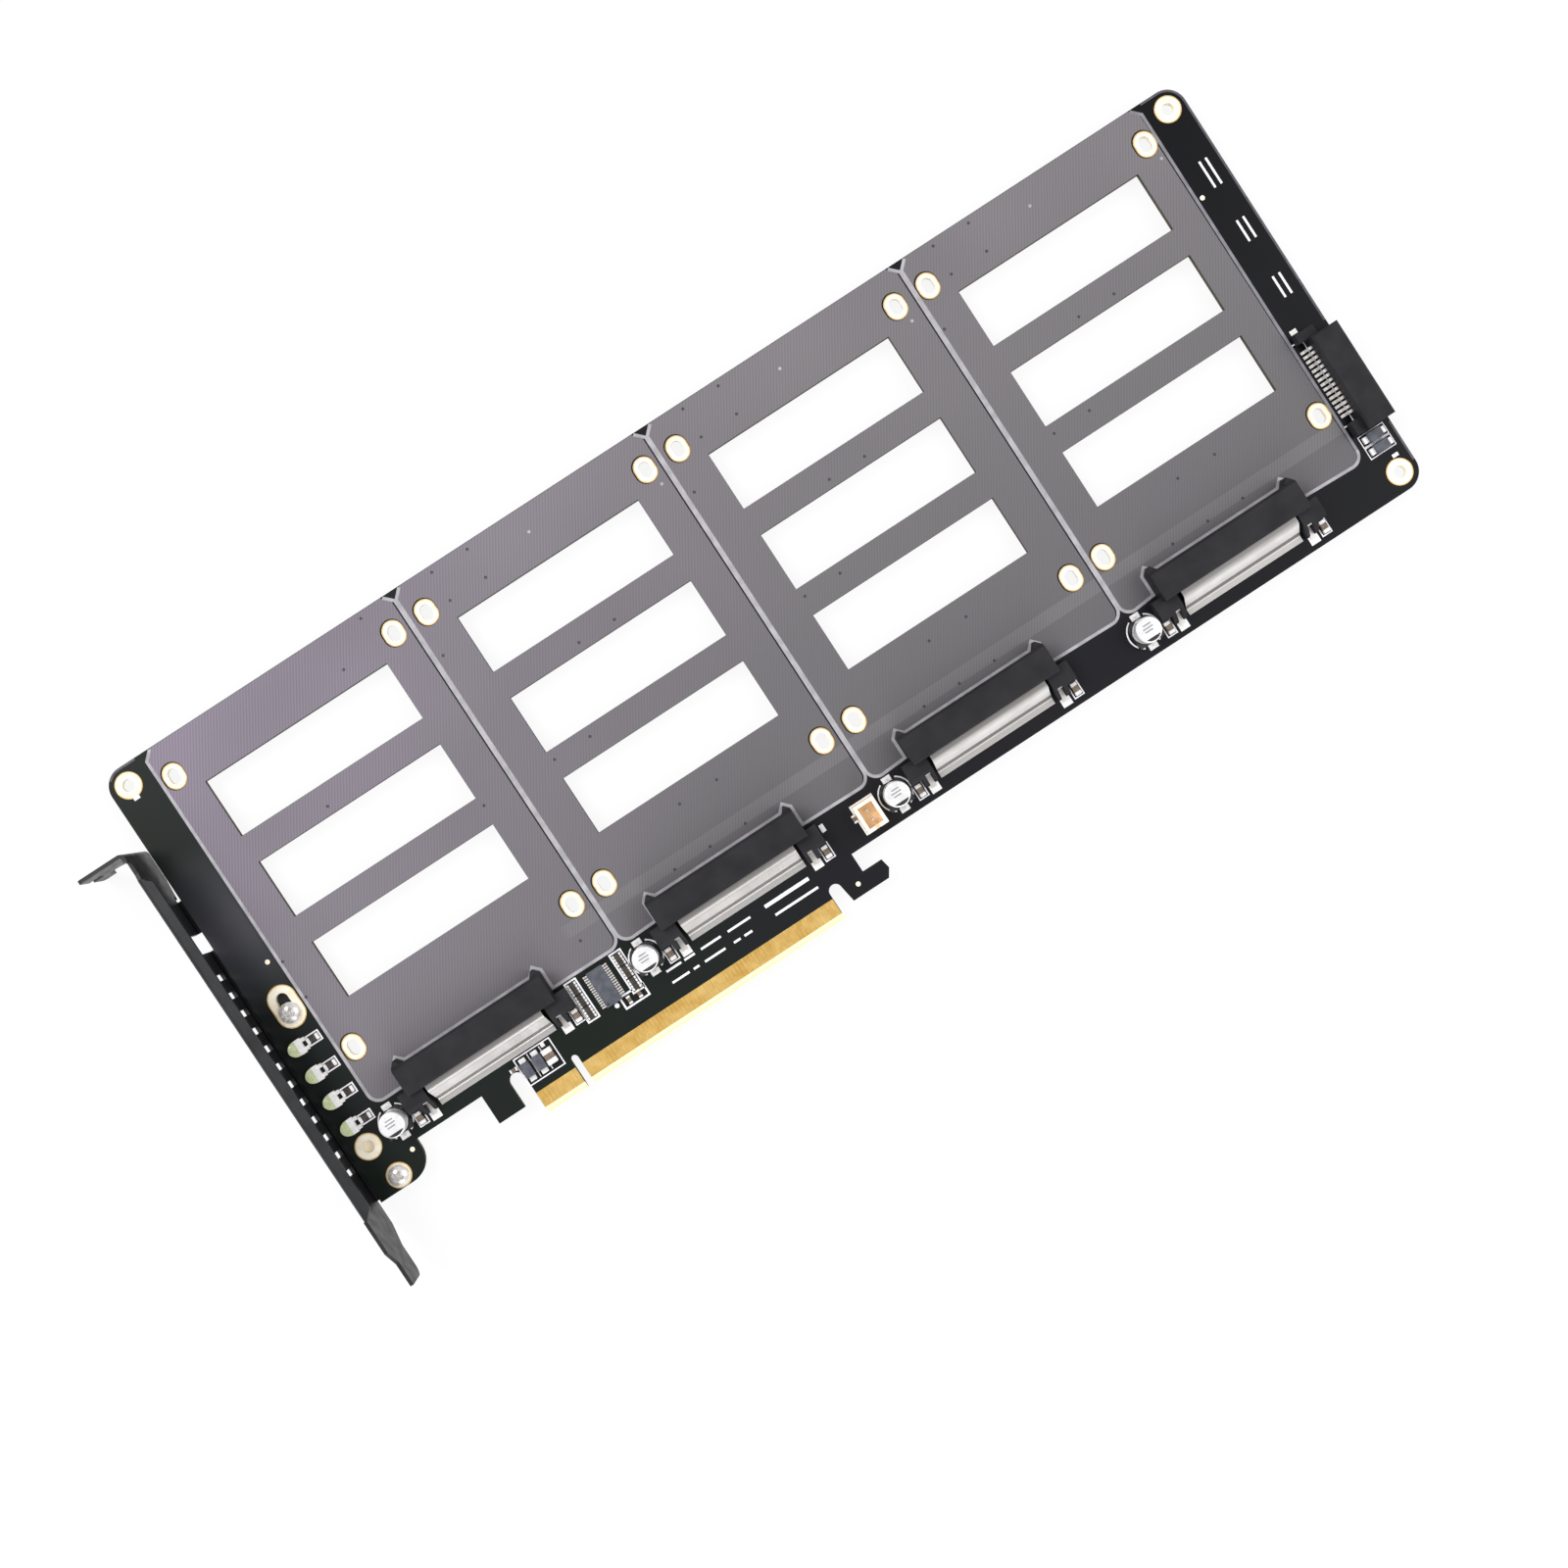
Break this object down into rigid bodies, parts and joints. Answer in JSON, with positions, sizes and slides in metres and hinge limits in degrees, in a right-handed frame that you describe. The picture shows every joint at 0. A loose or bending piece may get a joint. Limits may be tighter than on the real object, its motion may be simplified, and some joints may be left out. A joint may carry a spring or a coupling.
{
  "type": "ssd riser card",
  "caption": "Full-length expansion card that carries 2.5 inch drives flat on a windowed board, with drive receptacles, edge connector, power connector and end bracket.",
  "frame": {"origin": "centre of the four corner holes, on the board's component face", "axes": "+X along the card, away from the end bracket; +Y from the edge contacts to the top edge; +Z out of the component face"},
  "size_m": [0.3167, 0.139, 0.0184],
  "materials": {
    "laminate": "near black glossy solder mask",
    "gold": "gold plated, satin",
    "pale_gold": "pale gold plated lands",
    "bracket_steel": "satin charcoal coating",
    "screw_steel": "nickel plated",
    "connector_plastic": "black moulded, fine satin",
    "tinned": "tinned, bright",
    "can_aluminium": "bright drawn aluminium",
    "cream_plastic": "cream nylon",
    "white_plastic": "white moulded",
    "lens": "pale yellow-green lens",
    "epoxy_black": "black moulded epoxy",
    "ceramic": "brown ceramic"
  },
  "bodies": {
    "root": {"circuit_board": "laminate", "edge_contacts": "gold", "plated_lands": "pale_gold", "bracket": "bracket_steel", "bracket_screws": "screw_steel", "light_bodies": "white_plastic", "light_lenses": "lens", "header_housing": "cream_plastic", "header_pins": "tinned", "power_housing": "connector_plastic", "power_tails": "tinned", "clock_buffer_body": "epoxy_black", "clock_buffer_leads": "tinned", "network_bodies": "epoxy_black", "network_terminals": "tinned", "chip_bodies": "ceramic", "chip_terminals": "tinned", "diode_bodies": "epoxy_black", "diode_terminals": "tinned", "receptacle_housing_1": "connector_plastic", "receptacle_tails_1": "tinned", "receptacle_locks_1": "tinned", "capacitor_base_1": "epoxy_black", "capacitor_can_1": "can_aluminium", "capacitor_leads_1": "tinned", "receptacle_housing_2": "connector_plastic", "receptacle_tails_2": "tinned", "receptacle_locks_2": "tinned", "capacitor_base_2": "epoxy_black", "capacitor_can_2": "can_aluminium", "capacitor_leads_2": "tinned", "receptacle_housing_3": "connector_plastic", "receptacle_tails_3": "tinned", "receptacle_locks_3": "tinned", "capacitor_base_3": "epoxy_black", "capacitor_can_3": "can_aluminium", "capacitor_leads_3": "tinned", "receptacle_housing_4": "connector_plastic", "receptacle_tails_4": "tinned", "receptacle_locks_4": "tinned", "capacitor_base_4": "epoxy_black", "capacitor_can_4": "can_aluminium", "capacitor_leads_4": "tinned"}
  },
  "joints": []
}
